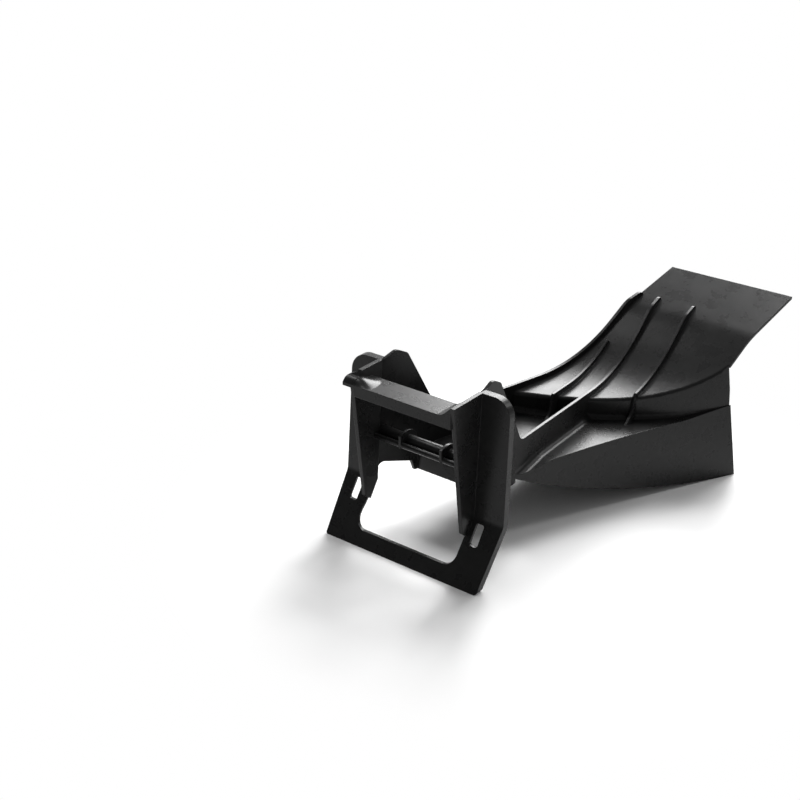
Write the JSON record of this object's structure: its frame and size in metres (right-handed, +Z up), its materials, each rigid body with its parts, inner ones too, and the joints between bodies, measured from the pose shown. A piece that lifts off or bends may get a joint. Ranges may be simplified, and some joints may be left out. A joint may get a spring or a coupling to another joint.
{
  "type": "mower mulching plug",
  "caption": "Plug that closes a walk-behind mower's rear discharge chute: a slotted frame with a grip, a walled channel and a ribbed deflector sheet.",
  "frame": {"origin": "centre of the frame's foot face, which stands on the ground", "axes": "+X across the frame to the side that the sheet spreads to, +Y from the frame along the channel to the tongue, +Z up"},
  "size_m": [0.2848, 0.4694, 0.1952],
  "materials": {
    "moulding": "fine-grained black"
  },
  "bodies": {
    "root": {"mulching_plug": "moulding"}
  },
  "joints": []
}
